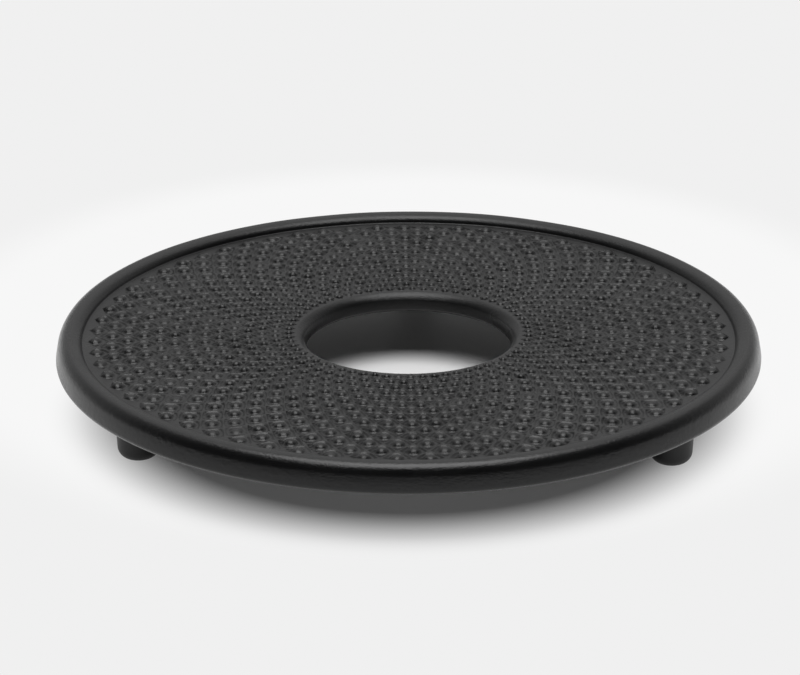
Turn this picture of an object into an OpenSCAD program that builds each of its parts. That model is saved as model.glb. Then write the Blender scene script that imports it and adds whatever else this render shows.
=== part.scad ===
// Cast-iron trivet: a round pierced disc with a raised rim bead, rings of small
// hobnails on its top, and three cast studs that carry push-on rubber foot caps.
// Millimetres, +Z up, origin on the table under the middle of the disc.

/* [Disc] */
// Outside diameter of the disc, over its rim bead
disc_d = 150; // [146:1:180]
// Thickness of the web between the rim bead and the middle hole
web_t = 4.1; // [3.2:0.1:5]
// Clear height between the table and the flat underside
stand_h = 11.6; // [9:0.1:20]

/* [Rim bead] */
// Width of the rim bead, whose top is a half round
bead_w = 5.6; // [4.2:0.1:8]
// Rise of the rim bead's crest over the top of the web
bead_rise = 1.9; // [1:0.1:3.4]
// Rounding of the rim's outer edge at the underside
rim_low_r = 1.1; // [0.4:0.1:2]

/* [Middle hole] */
// Diameter of the middle hole at its straight land
hole_d = 44; // [30:0.5:60]
// Rounding of the hole's upper edge
hole_top_r = 1.9; // [1:0.1:2.2]
// Rounding of the hole's lower edge
hole_low_r = 0.8; // [0.4:0.1:1]

/* [Hobnails] */
// Number of rings of hobnails
nub_rings = 14; // [6:1:14]
// Number of hobnails in each ring
nubs_per_ring = 65; // [40:1:70]
// Smooth lip between the hole and the innermost ring's middles
hole_lip_w = 3.5; // [3:0.1:6]
// Smooth ledge between the rim bead and the outermost ring's middles
rim_ledge_w = 3.1; // [2:0.1:6]
// Outermost step between rings, as a share of the innermost step
ring_growth_share = 1.22; // [1:0.01:1.6]
// Base diameter of a hobnail in the innermost ring
nub_d_in = 1.5; // [1.2:0.1:2]
// Base diameter of a hobnail in the outermost ring
nub_d_out = 2.7; // [2:0.1:3.4]
// Height of the hobnails over the top of the web
nub_h = 0.6; // [0.4:0.1:1.2]

/* [Feet] */
// Distance from the disc's edge to the middle of a foot
foot_inset = 12; // [8:0.5:30]
// Turn of the rear foot from straight back, in degrees
foot_turn = -1.7; // [-30:0.1:30]
// Diameter of the cast stud inside each cap
stud_d = 6; // [4:0.1:6.4]
// Thickness of the rubber under the stud
cap_floor_t = 3; // [1.5:0.1:5]
// Diameter of a cap where it meets the disc
cap_top_d = 9.5; // [8.6:0.1:12]
// Diameter of a cap just above its rounded lower edge
cap_low_d = 8.8; // [8:0.1:11]
// Rounding of a cap's lower edge
cap_edge_r = 2.5; // [1:0.1:3]
// Gap all round between a stud and the wall of its cap
cap_gap = 0.05; // [0.02:0.01:0.2]

/* [Hidden] */
disc_r = disc_d / 2;
hole_r = hole_d / 2;
web_top = stand_h + web_t;
bead_r = bead_w / 2;
bead_mid_r = disc_r - bead_r;
bead_spring = web_top + bead_rise - bead_r;
hole_edge_r = max(hole_top_r, hole_low_r);
nub_first_r = hole_r + hole_lip_w;
nub_last_r = disc_r - bead_w - rim_ledge_w;
ring_step = 2 * (nub_last_r - nub_first_r) / ((nub_rings - 1) * (1 + ring_growth_share));
ring_step_gain = ring_step * (ring_growth_share - 1) / (nub_rings - 2);
nub_gain = (nub_d_out - nub_d_in) / (nub_rings - 1);
foot_circle_r = disc_r - foot_inset;
stud_len = stand_h - cap_floor_t;
nub_angle = 360 / nubs_per_ring;
first_nub_angle = -0.6;
foot_count = 3;
foot_angle = 360 / foot_count;
rear_foot_angle = 90 + foot_turn;
iron = [0.17, 0.17, 0.18];
rubber = [0.05, 0.05, 0.05];
smooth_fn = 180;
foot_fn = 64;
nub_fn = 16;

function ring_r(i) = nub_first_r + i * ring_step + ring_step_gain * i * (i - 1) / 2;
function ring_nub_d(i) = nub_d_in + i * nub_gain;
function row_angle(i) = first_nub_angle + (i % 2) * nub_angle / 2;

// Rounded hole edge, flat web and rim bead, as one section to be turned
module disc_section() {
    translate([hole_r + hole_top_r, web_top - hole_top_r]) circle(r = hole_top_r, $fn = foot_fn);
    translate([hole_r + hole_low_r, stand_h + hole_low_r]) circle(r = hole_low_r, $fn = foot_fn);
    translate([hole_r, stand_h + hole_low_r])
        square([hole_edge_r, web_t - hole_top_r - hole_low_r]);
    translate([hole_r + hole_low_r, stand_h])
        square([hole_edge_r, web_t - hole_top_r]);
    translate([hole_r + hole_edge_r, stand_h])
        square([bead_mid_r - hole_r - hole_edge_r, web_t]);
    translate([bead_mid_r, bead_spring]) circle(r = bead_r, $fn = foot_fn);
    translate([bead_mid_r, stand_h])
        square([bead_r - rim_low_r, bead_spring - stand_h]);
    translate([bead_mid_r, stand_h + rim_low_r])
        square([bead_r, bead_spring - stand_h - rim_low_r]);
    translate([disc_r - rim_low_r, stand_h + rim_low_r]) circle(r = rim_low_r, $fn = foot_fn);
}

// Low dome whose ball is sunk in the web
module hobnail(d, h) {
    ball_r = (d * d / 4 + h * h) / (2 * h);
    translate([0, 0, h - ball_r]) sphere(r = ball_r, $fn = nub_fn);
}

// Rings of hobnails, each ring turned half a step from the last
module hobnail_field() {
    for (i = [0 : nub_rings - 1], k = [0 : nubs_per_ring - 1])
        rotate([0, 0, row_angle(i) + k * nub_angle])
            translate([ring_r(i), 0, web_top]) hobnail(ring_nub_d(i), nub_h);
}

// Places its children at foot number n, counted from the rear foot
module at_foot(n) {
    rotate([0, 0, rear_foot_angle + n * foot_angle])
        translate([foot_circle_r, 0, 0]) children();
}

// Disc, hobnails and studs, cast in one
module trivet_plate() {
    color(iron) union() {
        rotate_extrude($fn = smooth_fn) disc_section();
        hobnail_field();
        for (n = [0 : foot_count - 1]) at_foot(n)
            translate([0, 0, cap_floor_t])
                cylinder(d = stud_d, h = stud_len + web_t / 2, $fn = foot_fn);
    }
}

// Tapered rubber cap with a rounded lower edge and a blind bore for the stud
module foot_cap() {
    low_r = cap_low_d / 2;
    color(rubber) difference() {
        union() {
            translate([0, 0, cap_edge_r])
                cylinder(d1 = cap_low_d, d2 = cap_top_d, h = stand_h - cap_edge_r, $fn = foot_fn);
            rotate_extrude($fn = foot_fn) {
                square([low_r - cap_edge_r, cap_edge_r]);
                intersection() {
                    translate([low_r - cap_edge_r, cap_edge_r]) circle(r = cap_edge_r, $fn = foot_fn);
                    translate([low_r - cap_edge_r, 0]) square([cap_edge_r, cap_edge_r]);
                }
            }
        }
        translate([0, 0, cap_floor_t])
            cylinder(d = stud_d + 2 * cap_gap, h = stand_h, $fn = foot_fn);
    }
}

module foot_cap_rear() { at_foot(0) foot_cap(); }
module foot_cap_left() { at_foot(1) foot_cap(); }
module foot_cap_right() { at_foot(2) foot_cap(); }

trivet_plate();
foot_cap_rear();
foot_cap_left();
foot_cap_right();
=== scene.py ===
import bpy
import bmesh
import math
import random
from mathutils import Matrix, Vector, noise


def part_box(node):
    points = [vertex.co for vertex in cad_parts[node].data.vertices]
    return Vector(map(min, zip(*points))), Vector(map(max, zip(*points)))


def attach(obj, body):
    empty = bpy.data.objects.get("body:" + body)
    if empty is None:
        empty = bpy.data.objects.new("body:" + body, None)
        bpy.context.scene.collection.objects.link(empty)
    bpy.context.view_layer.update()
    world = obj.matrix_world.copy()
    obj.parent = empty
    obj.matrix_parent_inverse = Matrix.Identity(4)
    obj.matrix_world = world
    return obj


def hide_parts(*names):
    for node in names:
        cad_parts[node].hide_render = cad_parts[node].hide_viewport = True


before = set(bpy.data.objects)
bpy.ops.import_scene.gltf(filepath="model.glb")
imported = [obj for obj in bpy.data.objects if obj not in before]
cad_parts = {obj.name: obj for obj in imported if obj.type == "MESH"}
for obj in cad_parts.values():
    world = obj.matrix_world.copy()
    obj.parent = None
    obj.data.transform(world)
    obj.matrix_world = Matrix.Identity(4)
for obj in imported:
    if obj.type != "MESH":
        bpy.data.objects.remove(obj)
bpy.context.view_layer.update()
mm = 0.001
mergeDistance = 0.003 * mm
tiny = 1e-6                                              # a margin too small to see
plateLow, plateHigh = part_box("trivet_plate")
discRadius = (plateHigh[0] - plateLow[0]) / 2
crestHeight = plateHigh[2]
print("frame loaded, disc radius", round(discRadius, 4))


# a mesh object from a bmesh, with doubles merged and faces pointing outwards
def finishMesh(bm, name, creaseAngle=48):
    bmesh.ops.remove_doubles(bm, verts=bm.verts[:], dist=mergeDistance)
    bmesh.ops.recalc_face_normals(bm, faces=bm.faces[:])
    mesh = bpy.data.meshes.new(name)
    bm.to_mesh(mesh)
    bm.free()
    mesh.polygons.foreach_set("use_smooth", [True] * len(mesh.polygons))
    mesh.set_sharp_from_angle(angle=math.radians(creaseAngle))
    piece = bpy.data.objects.new(name, mesh)
    bpy.context.scene.collection.objects.link(piece)
    return piece


def mix(low, high, share):
    return low + (high - low) * share


# points along a round or oval arc of a section, as (radius, height)
def arcPoints(centreR, centreZ, reachR, reachZ, fromDegrees, toDegrees, steps):
    points = []
    for step in range(steps + 1):
        angle = math.radians(mix(fromDegrees, toDegrees, step / steps))
        points.append((centreR + reachR * math.cos(angle), centreZ + reachZ * math.sin(angle)))
    return points


# points down a round shoulder towards the middle, between two slopes in degrees
def slopePoints(startR, startZ, curve, fromDegrees, toDegrees, steps):
    first = math.radians(fromDegrees)
    points = []
    for step in range(steps + 1):
        slope = math.radians(mix(fromDegrees, toDegrees, step / steps))
        points.append((startR - curve * (math.sin(slope) - math.sin(first)),
                       startZ - curve * (math.cos(first) - math.cos(slope))))
    return points


# the camera stands where the photograph was taken from
cameraSet = {
    "distance": 599.8 * mm, "elevation": 21.682, "roll": -0.14, "aimHeight": 14.28 * mm,
    "lens": 126.21, "sensorWidth": 36, "shiftX": -0.01075, "shiftY": -0.000575,
    "clipStart": 0.01, "clipEnd": 20,
}


def makeCamera():
    data = bpy.data.cameras.new("photoCamera")
    data.lens = cameraSet["lens"]
    data.sensor_width = cameraSet["sensorWidth"]
    data.shift_x = cameraSet["shiftX"]
    data.shift_y = cameraSet["shiftY"]
    data.clip_start = cameraSet["clipStart"]
    data.clip_end = cameraSet["clipEnd"]
    camera = bpy.data.objects.new("photoCamera", data)
    bpy.context.scene.collection.objects.link(camera)
    lift = math.radians(cameraSet["elevation"])
    place = Vector((0, -math.cos(lift), math.sin(lift))) * cameraSet["distance"]
    place.z += cameraSet["aimHeight"]
    turn = Matrix.Rotation(math.radians(90) - lift, 4, "X")
    roll = Matrix.Rotation(math.radians(cameraSet["roll"]), 4, "Z")
    camera.matrix_world = Matrix.Translation(place) @ turn @ roll
    bpy.context.scene.camera = camera


makeCamera()
print("camera made")

# the iron casting: hobnailed field, rim bead, hole edge and underside
casting = {
    "crestRadius": 72.1 * mm, "footRadius": 69.45 * mm, "footFillet": 0.3 * mm,    # rim bead, inner half
    "outerReach": 2.55 * mm, "outerRise": 3.32 * mm,                               # and outer half
    "flankStart": 17, "flankLean": 9, "lowCorner": 1.1 * mm,
    "groundHeight": 15.7 * mm, "underHeight": 11.6 * mm,
    "holeLowRadius": 21.88 * mm, "lowEdge": 0.8 * mm,
    # the hole's sloping shoulder, between two slopes in degrees, and the corner below it
    "lipRadius": 24.0 * mm, "lipCurve": 3.3 * mm, "lipFrom": 22, "lipTo": 60,
    "lipCorner": 0.6 * mm, "cornerTo": 85,
    # slow unevenness of the casting, which fades out towards the flat underside
    "waveHeight": 0.05 * mm, "waveSize": 14 * mm, "waveFade": 1 * mm,
    "creaseAngle": 86,
    # steps that each stretch of the section takes
    "filletSteps": 4, "beadSteps": 10, "lowCornerSteps": 6, "underSteps": 6, "lowEdgeSteps": 5,
    "shoulderSteps": 8, "lipCornerSteps": 3,
}
hobnails = {
    "rings": 14, "perRing": 65, "firstTurn": -0.6, "growth": 1.22,
    "firstRadius": 25.59 * mm, "lastRadius": 66.54 * mm,
    "innerEdge": 24.1 * mm, "outerEdge": 68.3 * mm,      # where the pattern ends
    "segments": 12, "rowInset": 0.15,                    # the inset only makes the rows, not their places
    # each hobnail is a dome in a shallow dish, which stops short of its neighbours
    "dishRadiusIn": 1.78 * mm, "dishRadiusOut": 2.75 * mm, "dishFill": 0.96,
    "dishDepthIn": 0.2 * mm, "dishDepthOut": 0.29 * mm,
    "lipWidth": 0.04, "lipDrop": 0.9,                    # shares of the dish's radius and depth
    "domeRadiusIn": 0.85 * mm, "domeRadiusOut": 1.42 * mm, "domeFill": 0.9,
    "riseIn": 0.5 * mm, "riseOut": 0.6 * mm,
    "domeRows": [(1, 0), (0.9, 0.38), (0.41, 0.86)],     # shares of the dome's radius and height
    # how far hobnails stray in place, height and depth
    "placeSpread": 0.08 * mm, "heightSpread": 0.14, "depthSpread": 0.3, "seed": 7,
    "strayGain": 1.6, "leastShare": 0.4,
}
stepAngle = 2 * math.pi / hobnails["perRing"]


def ringRadius(i):
    if i < 0:
        return hobnails["innerEdge"]
    if i == hobnails["rings"]:
        return hobnails["outerEdge"]
    gaps = hobnails["rings"] - 1
    step = 2 * (hobnails["lastRadius"] - hobnails["firstRadius"]) / (gaps * (1 + hobnails["growth"]))
    gain = step * (hobnails["growth"] - 1) / (gaps - 1)
    return hobnails["firstRadius"] + i * step + gain * i * (i - 1) / 2


# every other ring is turned by half a step
def stagger(i):
    return (i % 2) / 2


# how far out in its four-cornered cell a place lies: 0 at the hobnail's middle, 1 at the cell's edge
def cellShare(i, across, outward):
    wide = ringRadius(i) * stepAngle / 2
    deep = abs(ringRadius(i + (1 if outward > 0 else -1)) - ringRadius(i))
    return abs(across) / wide + abs(outward) / deep


# one cell in strip space: x is the angle round the disc, y the radius, z the height
def addCell(bm, i, middle):
    h = hobnails
    share = i / (h["rings"] - 1)
    dish = mix(h["dishRadiusIn"], h["dishRadiusOut"], share)
    depth = mix(h["dishDepthIn"], h["dishDepthOut"], share)
    dome = mix(h["domeRadiusIn"], h["domeRadiusOut"], share)
    domeHeight = depth + mix(h["riseIn"], h["riseOut"], share)
    # rows from the dish's lip to the dome's shoulder: share of the dish or dome, and height
    rows = [("dish", 1, 0), ("dish", 1 - h["lipWidth"], -depth * h["lipDrop"])]
    rows += [("dome", wide, domeHeight * high - depth) for wide, high in h["domeRows"]]
    made = bmesh.ops.create_circle(bm, cap_ends=True, segments=h["segments"], radius=1)
    face = made["verts"][0].link_faces[0]
    edge = face.verts[:]
    loops = []
    for _ in rows:
        bmesh.ops.inset_individual(bm, faces=[face], thickness=h["rowInset"], depth=0)
        loops.append(face.verts[:])
    peak = bmesh.ops.poke(bm, faces=[face])["verts"][0]
    r = ringRadius(i)
    ground = casting["groundHeight"]
    half = stepAngle / 2
    corners = [(middle + half, r), (middle, ringRadius(i + 1)),
               (middle - half, r), (middle, ringRadius(i - 1))]
    for loop, (part, wide, height) in zip(loops, rows):
        for vert in loop:
            angle = math.atan2(vert.co.y, vert.co.x)
            aside, outward = math.cos(angle), math.sin(angle)
            reach = min(dish, h["dishFill"] / cellShare(i, aside, outward))
            if part == "dome":
                reach = min(dome, reach * (1 - h["lipWidth"]) * h["domeFill"])
            vert.co = (middle + reach * wide * aside / r, r + reach * wide * outward, ground + height)
    for vert in edge:
        quarter = math.atan2(vert.co.y, vert.co.x) % (2 * math.pi) / (math.pi / 2) + tiny
        a, b = corners[int(quarter) % 4], corners[(int(quarter) + 1) % 4]
        along = quarter - int(quarter)
        vert.co = (mix(a[0], b[0], along), mix(a[1], b[1], along), ground)
    peak.co = (middle, r, ground + domeHeight - depth)


# draws a row of edges out to each point of a section in turn
def sweepRow(bm, edges, points):
    for radius, height in points:
        made = bmesh.ops.extrude_edge_only(bm, edges=edges)["geom"]
        fresh = {item for item in made if isinstance(item, bmesh.types.BMVert)}
        for vert in fresh:
            vert.co.y = radius
            vert.co.z = height
        edges = [item for item in made if isinstance(item, bmesh.types.BMEdge)
                 and item.verts[0] in fresh and item.verts[1] in fresh]


# section from the ledge inside the bead, over the bead, along the underside and up the hole
def castingSection():
    c = casting
    ground, under, crest = c["groundHeight"], c["underHeight"], c["crestRadius"]
    fillet, lowCorner, lowEdge = c["footFillet"], c["lowCorner"], c["lowEdge"]
    innerReach = crest - c["footRadius"]
    footAngle = 180 - math.degrees(math.asin(fillet / (crestHeight - ground)))
    filletRadius = crest + innerReach * math.cos(math.radians(footAngle)) - fillet
    points = arcPoints(filletRadius, ground + fillet, fillet, fillet, -90, 0, c["filletSteps"])
    points += arcPoints(crest, ground, innerReach, crestHeight - ground, footAngle, 90, c["beadSteps"])[1:]
    points += arcPoints(crest, crestHeight - c["outerRise"], c["outerReach"], c["outerRise"],
                        90, c["flankStart"], c["beadSteps"])[1:]
    cornerRadius = discRadius - lowCorner
    points += arcPoints(cornerRadius, under + lowCorner, lowCorner, lowCorner,
                        c["flankLean"], -90, c["lowCornerSteps"])
    lowRadius = c["holeLowRadius"] + lowEdge
    for step in range(1, c["underSteps"] + 1):
        points.append((mix(cornerRadius, lowRadius, step / c["underSteps"]), under))
    points += arcPoints(lowRadius, under + lowEdge, lowEdge, lowEdge, -90, -180, c["lowEdgeSteps"])[1:]
    shoulder = slopePoints(c["lipRadius"], ground, c["lipCurve"], c["lipFrom"], c["lipTo"],
                           c["shoulderSteps"])
    corner = slopePoints(*shoulder[-1], c["lipCorner"], c["lipTo"], c["cornerTo"], c["lipCornerSteps"])
    points += (shoulder + corner[1:])[::-1]
    return points


# moves each hobnail a little, as in a hand-tooled mould, and waves the whole casting slowly
def roughenCasting(bm):
    h = hobnails
    draw = random.Random(h["seed"])
    radii = [ringRadius(i) for i in range(h["rings"])]
    draws = {}
    for i in range(h["rings"]):
        for k in range(h["perRing"]):
            draws[i, k] = (draw.gauss(0, h["placeSpread"]), draw.gauss(0, h["placeSpread"]),
                           draw.gauss(1, h["heightSpread"]), draw.gauss(1, h["depthSpread"]))
    ground = casting["groundHeight"]
    patternFloor = ground - 2 * h["dishDepthOut"]        # below every dish
    for vert in bm.verts:
        x, y, z = vert.co
        r = math.hypot(x, y)
        if z > patternFloor and h["innerEdge"] < r < h["outerEdge"]:
            turn = (math.atan2(y, x) - math.radians(h["firstTurn"])) / stepAngle
            nearest = None
            middleRing = min(range(h["rings"]), key=lambda i: abs(radii[i] - r))
            for i in range(max(0, middleRing - 1), min(h["rings"], middleRing + 2)):
                k = round(turn - stagger(i))
                share = cellShare(i, (turn - stagger(i) - k) * stepAngle * radii[i], r - radii[i])
                if nearest is None or share < nearest[0]:
                    nearest = (share, draws[i, k % h["perRing"]])
            share, (shiftX, shiftY, heightShare, depthShare) = nearest
            weight = min(1, h["strayGain"] * max(0, 1 - share))
            vert.co.x += shiftX * weight
            vert.co.y += shiftY * weight
            rise = z - ground
            vert.co.z = ground + rise * max(h["leastShare"], heightShare if rise > 0 else depthShare)
        wave = noise.noise(Vector((x, y, z)) / casting["waveSize"]) * casting["waveHeight"]
        vert.co.z += wave * min(1, (z - casting["underHeight"]) / casting["waveFade"])


def makeCasting():
    h = hobnails
    bm = bmesh.new()
    for i in range(h["rings"]):
        addCell(bm, i, stagger(i) * stepAngle)
    bmesh.ops.remove_doubles(bm, verts=bm.verts[:], dist=tiny)
    lastRadius = ringRadius(h["rings"] - 1) - tiny
    firstRadius = ringRadius(0) + tiny
    outer = [e for e in bm.edges if e.is_boundary and min(v.co.y for v in e.verts) > lastRadius]
    inner = [e for e in bm.edges if e.is_boundary and max(v.co.y for v in e.verts) < firstRadius]
    sweepRow(bm, outer, castingSection())
    sweepRow(bm, inner, [(casting["lipRadius"], casting["groundHeight"])])
    firstTurn = math.radians(h["firstTurn"])
    for vert in bm.verts:
        angle, r, z = vert.co
        vert.co = (r * math.cos(angle + firstTurn), r * math.sin(angle + firstTurn), z)
    copies = h["perRing"] - 1
    bmesh.ops.spin(bm, geom=bm.verts[:] + bm.edges[:] + bm.faces[:], cent=(0, 0, 0), axis=(0, 0, 1),
                   dvec=(0, 0, 0), angle=stepAngle * copies, steps=copies, use_duplicate=True)
    bmesh.ops.remove_doubles(bm, verts=bm.verts[:], dist=mergeDistance)
    roughenCasting(bm)
    piece = finishMesh(bm, "ironPlate", casting["creaseAngle"])
    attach(piece, "root")
    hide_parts("trivet_plate")
    return piece


ironPlate = makeCasting()
print("casting made, faces", len(ironPlate.data.polygons))

# cast studs inside the caps
studs = {
    "radius": 3.0 * mm, "sunk": 0.5 * mm, "edge": 0.4 * mm, "edgeSteps": 3, "segments": 32,
    "floorMargin": 0.01 * mm,                            # tells the lower edge from the upper one
}
caps = {
    "topRadius": 4.75 * mm, "lowRadius": 4.4 * mm, "edge": 2.5 * mm, "floor": 3.0 * mm,
    "boreRadius": 3.05 * mm, "topEdge": 0.35 * mm,
    "edgeSteps": 12, "topEdgeSteps": 4, "segments": 64,
}
capNodes = ["foot_cap_rear", "foot_cap_left", "foot_cap_right"]


def footPlace(node):
    low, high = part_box(node)
    return Vector(((low[0] + high[0]) / 2, (low[1] + high[1]) / 2, 0))


def makeStuds():
    bm = bmesh.new()
    height = casting["underHeight"] + studs["sunk"] - caps["floor"]
    lowest = caps["floor"] + studs["floorMargin"]
    for node in capNodes:
        place = footPlace(node)
        place.z = caps["floor"] + height / 2
        made = bmesh.ops.create_cone(bm, cap_ends=True, segments=studs["segments"],
                                     radius1=studs["radius"], radius2=studs["radius"],
                                     depth=height, matrix=Matrix.Translation(place))
        studEdges = {e for v in made["verts"] for e in v.link_edges}
        lowEdges = [e for e in studEdges if all(v.co.z < lowest for v in e.verts)]
        bmesh.ops.bevel(bm, geom=lowEdges, offset=studs["edge"], affect="EDGES",
                        segments=studs["edgeSteps"], profile=0.5, material=-1)
    piece = finishMesh(bm, "castStuds")
    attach(piece, "root")
    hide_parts("trivet_plate")
    return piece


def makeCap(node):
    c = caps
    top = casting["underHeight"]
    edge, topEdge = c["edge"], c["topEdge"]
    section = [(0, 0)]
    section += arcPoints(c["lowRadius"] - edge, edge, edge, edge, -90, 0, c["edgeSteps"])
    section += arcPoints(c["topRadius"] - topEdge, top - topEdge, topEdge, topEdge, 0, 90, c["topEdgeSteps"])
    section += [(c["boreRadius"], top), (c["boreRadius"], c["floor"]), (0, c["floor"])]
    bm = bmesh.new()
    verts = [bm.verts.new((r, 0, z)) for r, z in section]
    for a, b in zip(verts, verts[1:]):
        bm.edges.new((a, b))
    bmesh.ops.spin(bm, geom=bm.verts[:] + bm.edges[:], cent=(0, 0, 0), axis=(0, 0, 1), dvec=(0, 0, 0),
                   angle=2 * math.pi, steps=c["segments"], use_merge=True)
    bmesh.ops.translate(bm, verts=bm.verts[:], vec=footPlace(node))
    piece = finishMesh(bm, "rubberCap_" + node.split("_")[-1])
    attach(piece, "root")
    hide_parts(node)
    return piece


castStuds = makeStuds()
rubberCaps = [makeCap(node) for node in capNodes]
print("studs and caps made")


# materials
def newMaterial(name):
    material = bpy.data.materials.new(name)
    material.use_nodes = True
    nodes = material.node_tree.nodes
    links = material.node_tree.links
    return material, nodes, links, nodes["Principled BSDF"]


def addNode(nodes, kind, **values):
    node = nodes.new("ShaderNode" + kind)
    for name, value in values.items():
        setattr(node, name, value)
    return node


# a maths node on two values, each a socket or a number
def addMath(nodes, links, operation, *values):
    node = addNode(nodes, "Math", operation=operation)
    for socket, value in zip(node.inputs, values):
        if isinstance(value, bpy.types.NodeSocket):
            links.new(value, socket)
        else:
            socket.default_value = value
    return node.outputs["Value"]


# turns a value between two limits into one between two others
def addRange(nodes, links, value, low, high, toLow, toHigh, smooth=False):
    node = addNode(nodes, "MapRange")
    if smooth:
        node.interpolation_type = "SMOOTHSTEP"
    for name, limit in zip(("From Min", "From Max", "To Min", "To Max"), (low, high, toLow, toHigh)):
        node.inputs[name].default_value = limit
    links.new(value, node.inputs["Value"])
    return node.outputs["Result"]


# a mix of two fixed numbers or two fixed colours, by a share that changes over the surface
def addBlend(nodes, links, kind, share, first, second):
    node = addNode(nodes, "Mix", data_type=kind)
    node.inputs["A"].default_value = first
    node.inputs["B"].default_value = second
    links.new(share, node.inputs["Factor"])
    return node.outputs["Result"]


# a bump from a height, laid over another normal if one is given
def addBump(nodes, links, height, distance, strength, under=None):
    node = addNode(nodes, "Bump")
    node.inputs["Distance"].default_value = distance
    node.inputs["Strength"].default_value = strength
    links.new(height, node.inputs["Height"])
    if under:
        links.new(under, node.inputs["Normal"])
    return node.outputs["Normal"]


# shared effect: sand-cast grain, as a height, a speckle and a slow patchiness
grainSet = {
    "fineScale": 2600, "fineDetail": 3, "fineRough": 0.6,
    "coarseScale": 1100, "coarseDetail": 2, "coarseShare": 0.45,
    "patchScale": 60, "patchDetail": 3,
    "speckleFrom": 0.55, "speckleTo": 0.75,
}


def makeGrainGroup():
    g = grainSet
    group = bpy.data.node_groups.new("castGrain", "ShaderNodeTree")
    group.interface.new_socket("Vector", in_out="INPUT", socket_type="NodeSocketVector")
    for name, value in (("Fine Scale", g["fineScale"]), ("Coarse Scale", g["coarseScale"]),
                        ("Coarse Share", g["coarseShare"])):
        socket = group.interface.new_socket(name, in_out="INPUT", socket_type="NodeSocketFloat")
        socket.default_value = value
    for name in ("Height", "Speckle", "Patch"):
        group.interface.new_socket(name, in_out="OUTPUT", socket_type="NodeSocketFloat")
    nodes, links = group.nodes, group.links
    inside = nodes.new("NodeGroupInput")
    outside = nodes.new("NodeGroupOutput")
    fine = addNode(nodes, "TexNoise")
    fine.inputs["Detail"].default_value = g["fineDetail"]
    fine.inputs["Roughness"].default_value = g["fineRough"]
    coarse = addNode(nodes, "TexNoise")
    coarse.inputs["Detail"].default_value = g["coarseDetail"]
    patch = addNode(nodes, "TexNoise")
    patch.inputs["Scale"].default_value = g["patchScale"]
    patch.inputs["Detail"].default_value = g["patchDetail"]
    for texture in (fine, coarse, patch):
        links.new(inside.outputs["Vector"], texture.inputs["Vector"])
    links.new(inside.outputs["Fine Scale"], fine.inputs["Scale"])
    links.new(inside.outputs["Coarse Scale"], coarse.inputs["Scale"])
    blend = addNode(nodes, "Mix", data_type="FLOAT")
    links.new(inside.outputs["Coarse Share"], blend.inputs["Factor"])
    links.new(fine.outputs["Fac"], blend.inputs["A"])
    links.new(coarse.outputs["Fac"], blend.inputs["B"])
    speckle = addRange(nodes, links, fine.outputs["Fac"], g["speckleFrom"], g["speckleTo"], 0, 1)
    links.new(blend.outputs["Result"], outside.inputs["Height"])
    links.new(speckle, outside.inputs["Speckle"])
    links.new(patch.outputs["Fac"], outside.inputs["Patch"])
    return group


grainGroup = makeGrainGroup()
ironLook = {
    "deep": (0.005, 0.005, 0.0052, 1), "worn": (0.010, 0.010, 0.0103, 1),
    "specular": 0.40, "fieldRough": 0.32, "rimRough": 0.24,
    "roughSpread": 0.06, "patchFrom": 0.3, "patchTo": 0.7,
    "grainDistance": 0.12 * mm, "grainStrength": 0.8,
    # outside rimStart the bead is glossier than the field, with brush marks across it
    "brushDistance": 0.03 * mm, "brushStrength": 0.5, "brushDetail": 2,
    "brushAround": 260, "brushAcross": 90,
    "rimStart": 71.6 * mm, "rimBlend": 0.8 * mm,
}


def makeIronMaterial():
    look = ironLook
    material, nodes, links, shader = newMaterial("satinBlackIron")
    shader.inputs["Specular IOR Level"].default_value = look["specular"]
    coords = addNode(nodes, "TexCoord")
    grain = addNode(nodes, "Group", node_tree=grainGroup)
    links.new(coords.outputs["Object"], grain.inputs["Vector"])
    colour = addBlend(nodes, links, "RGBA", grain.outputs["Speckle"], look["deep"], look["worn"])
    links.new(colour, shader.inputs["Base Color"])

    split = addNode(nodes, "SeparateXYZ")
    links.new(coords.outputs["Object"], split.inputs["Vector"])
    flat = addNode(nodes, "CombineXYZ")
    links.new(split.outputs["X"], flat.inputs["X"])
    links.new(split.outputs["Y"], flat.inputs["Y"])
    radius = addNode(nodes, "VectorMath", operation="LENGTH")
    links.new(flat.outputs["Vector"], radius.inputs[0])
    rim = addRange(nodes, links, radius.outputs["Value"],
                   look["rimStart"], look["rimStart"] + look["rimBlend"], 0, 1)

    turn = addMath(nodes, links, "ARCTAN2", split.outputs["Y"], split.outputs["X"])
    around = addMath(nodes, links, "MULTIPLY", turn, look["brushAround"])
    across = addMath(nodes, links, "MULTIPLY", radius.outputs["Value"], look["brushAcross"])
    marks = addNode(nodes, "CombineXYZ")
    links.new(around, marks.inputs["X"])
    links.new(across, marks.inputs["Y"])
    links.new(split.outputs["Z"], marks.inputs["Z"])
    brush = addNode(nodes, "TexNoise")
    brush.inputs["Scale"].default_value = 1
    brush.inputs["Detail"].default_value = look["brushDetail"]
    links.new(marks.outputs["Vector"], brush.inputs["Vector"])
    brushHere = addMath(nodes, links, "MULTIPLY", brush.outputs["Fac"], rim)

    rough = addBlend(nodes, links, "FLOAT", rim, look["fieldRough"], look["rimRough"])
    patch = addRange(nodes, links, grain.outputs["Patch"], look["patchFrom"], look["patchTo"],
                     -look["roughSpread"], look["roughSpread"])
    links.new(addMath(nodes, links, "ADD", rough, patch), shader.inputs["Roughness"])

    brushBump = addBump(nodes, links, brushHere, look["brushDistance"], look["brushStrength"])
    bump = addBump(nodes, links, grain.outputs["Height"], look["grainDistance"], look["grainStrength"],
                   under=brushBump)
    links.new(bump, shader.inputs["Normal"])
    return material


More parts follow.
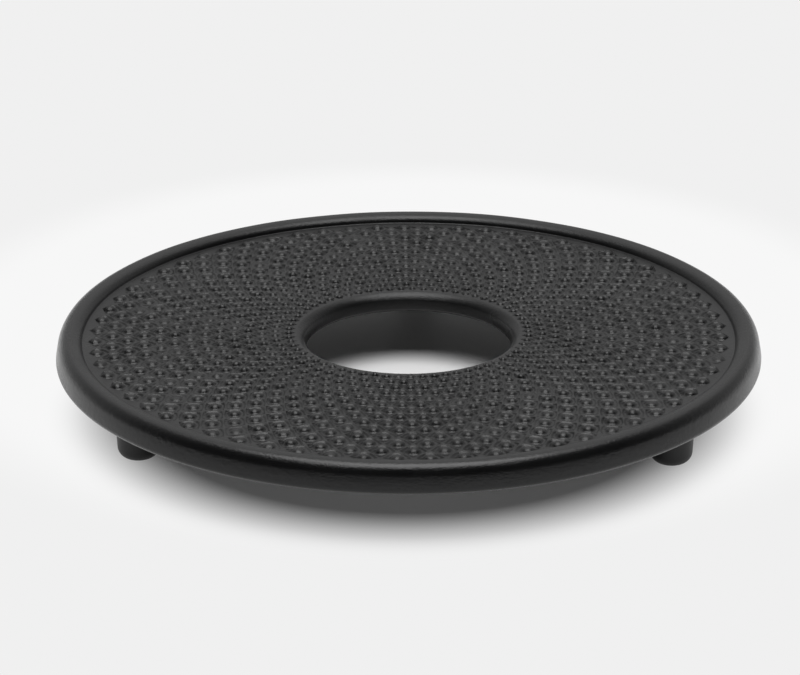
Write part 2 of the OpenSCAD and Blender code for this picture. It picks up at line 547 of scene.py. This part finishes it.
rubberLook = {
    "deep": (0.004, 0.004, 0.004, 1), "dusty": (0.008, 0.008, 0.008, 1), "rough": 0.5,
    "fineScale": 3500, "bumpDistance": 0.01 * mm, "bumpStrength": 0.5,
}


def makeRubberMaterial():
    look = rubberLook
    material, nodes, links, shader = newMaterial("blackRubber")
    shader.inputs["Roughness"].default_value = look["rough"]
    coords = addNode(nodes, "TexCoord")
    grain = addNode(nodes, "Group", node_tree=grainGroup)
    grain.inputs["Fine Scale"].default_value = look["fineScale"]
    links.new(coords.outputs["Object"], grain.inputs["Vector"])
    colour = addBlend(nodes, links, "RGBA", grain.outputs["Patch"], look["deep"], look["dusty"])
    links.new(colour, shader.inputs["Base Color"])
    bump = addBump(nodes, links, grain.outputs["Height"], look["bumpDistance"], look["bumpStrength"])
    links.new(bump, shader.inputs["Normal"])
    return material


ironMaterial = makeIronMaterial()
rubberMaterial = makeRubberMaterial()
for piece in (ironPlate, castStuds):
    piece.data.materials.append(ironMaterial)
for piece in rubberCaps:
    piece.data.materials.append(rubberMaterial)
print("materials made")

# pale floor, one soft lamp overhead and a dim world
floorSet = {
    "reach": 3.0, "colour": (0.90, 0.90, 0.90, 1), "rough": 0.55,
    # the real shadow shows in full inside shadowKept; from there to plainFrom it is painted over with the
    # flat pale shade, a painted lightening of its edge, and outside plainFrom only the plain shade shows
    "shadowKept": 54 * mm, "plainFrom": 79 * mm,
    # painted light: a little of the flat pale shade is painted into the shadow's outer part, lightening it
    "fillPlace": (0, 20 * mm, 0), "fillFrom": 40 * mm, "fillTo": 75 * mm, "paintedFill": 0.06,
    # paleShade is the even floor shade; the halo shade is a painted pool of light, brighter within haloFrom
    # to haloTo of haloPlace behind the object
    "paleShade": (0.871, 0.871, 0.871, 1), "paintedHaloShade": (0.93, 0.93, 0.93, 1),
    "haloPlace": (0, 45 * mm, 0), "haloFrom": 98 * mm, "haloTo": 124 * mm,
}


def makeFloor():
    f = floorSet
    bm = bmesh.new()
    bmesh.ops.create_grid(bm, x_segments=1, y_segments=1, size=f["reach"])
    floor = finishMesh(bm, "paleFloor")
    material, nodes, links, shader = newMaterial("paleFloor")
    shader.inputs["Base Color"].default_value = f["colour"]
    shader.inputs["Roughness"].default_value = f["rough"]
    coords = addNode(nodes, "TexCoord")

    # a share that grows from nothing to its most between two distances from a place
    def fadeFrom(place, start, end, most=1):
        away = addNode(nodes, "VectorMath", operation="DISTANCE")
        away.inputs[1].default_value = place
        links.new(coords.outputs["Object"], away.inputs[0])
        return addRange(nodes, links, away.outputs["Value"], start, end, 0, most, smooth=True)

    # painted light: a brighter painted pool of light on the floor near the object
    paintedHalo = fadeFrom(f["haloPlace"], f["haloFrom"], f["haloTo"])
    flat = addNode(nodes, "Emission")
    links.new(addBlend(nodes, links, "RGBA", paintedHalo, f["paintedHaloShade"], f["paleShade"]), flat.inputs["Color"])
    path = addNode(nodes, "LightPath")
    seen = path.outputs["Is Camera Ray"]
    for kind in ("Is Glossy Ray", "Is Transmission Ray"):
        seen = addMath(nodes, links, "MAXIMUM", seen, path.outputs[kind])
    # painted light: the flat pale shade is painted over the shadow's edge by distance from the middle, and a
    # little into its outer part
    plain = fadeFrom((0, 0, 0), f["shadowKept"], f["plainFrom"])
    paintedFill = fadeFrom(f["fillPlace"], f["fillFrom"], f["fillTo"], f["paintedFill"])
    share = addMath(nodes, links, "MAXIMUM", plain, paintedFill)
    blend = addNode(nodes, "MixShader")
    links.new(addMath(nodes, links, "MULTIPLY", seen, share), blend.inputs["Fac"])
    links.new(shader.outputs["BSDF"], blend.inputs[1])
    links.new(flat.outputs["Emission"], blend.inputs[2])
    links.new(blend.outputs["Shader"], nodes["Material Output"].inputs["Surface"])
    floor.data.materials.append(material)


lampSet = {"place": (0, -0.21, 1.2), "size": (1.1, 0.88), "power": 12.5}


def makeLamp():
    data = bpy.data.lights.new("overhead", "AREA")
    data.shape = "RECTANGLE"
    data.size, data.size_y = lampSet["size"]
    data.energy = lampSet["power"]
    lamp = bpy.data.objects.new("overhead", data)
    bpy.context.scene.collection.objects.link(lamp)
    lamp.location = lampSet["place"]


# the glow is brighter behind the object than in front of it, with a soft ceiling light above
worldSet = {
    "backGlow": 0.44, "frontGlow": 0.02, "from": -0.15, "to": 0.45,
    "ceilingGlow": 0.65, "ceilingLift": 68, "ceilingFrom": 0.70, "ceilingTo": 0.92,
}


def makeWorld():
    w = worldSet
    world = bpy.data.worlds.new("studio")
    bpy.context.scene.world = world
    world.use_nodes = True
    nodes, links = world.node_tree.nodes, world.node_tree.links
    coords = addNode(nodes, "TexCoord")
    split = addNode(nodes, "SeparateXYZ")
    links.new(coords.outputs["Generated"], split.inputs["Vector"])
    glow = addRange(nodes, links, split.outputs["Y"], w["from"], w["to"], w["frontGlow"], w["backGlow"])
    lift = math.radians(w["ceilingLift"])
    upward = addNode(nodes, "VectorMath", operation="DOT_PRODUCT")
    upward.inputs[1].default_value = (0, math.cos(lift), math.sin(lift))
    links.new(coords.outputs["Generated"], upward.inputs[0])
    ceiling = addRange(nodes, links, upward.outputs["Value"], w["ceilingFrom"], w["ceilingTo"],
                       0, w["ceilingGlow"], smooth=True)
    background = nodes["Background"]
    links.new(addMath(nodes, links, "ADD", glow, ceiling), background.inputs["Strength"])
    background.inputs["Color"].default_value = (1, 1, 1, 1)


makeFloor()
makeLamp()
makeWorld()
bpy.context.scene.view_settings.view_transform = "Standard"
print("floor and lamp made")
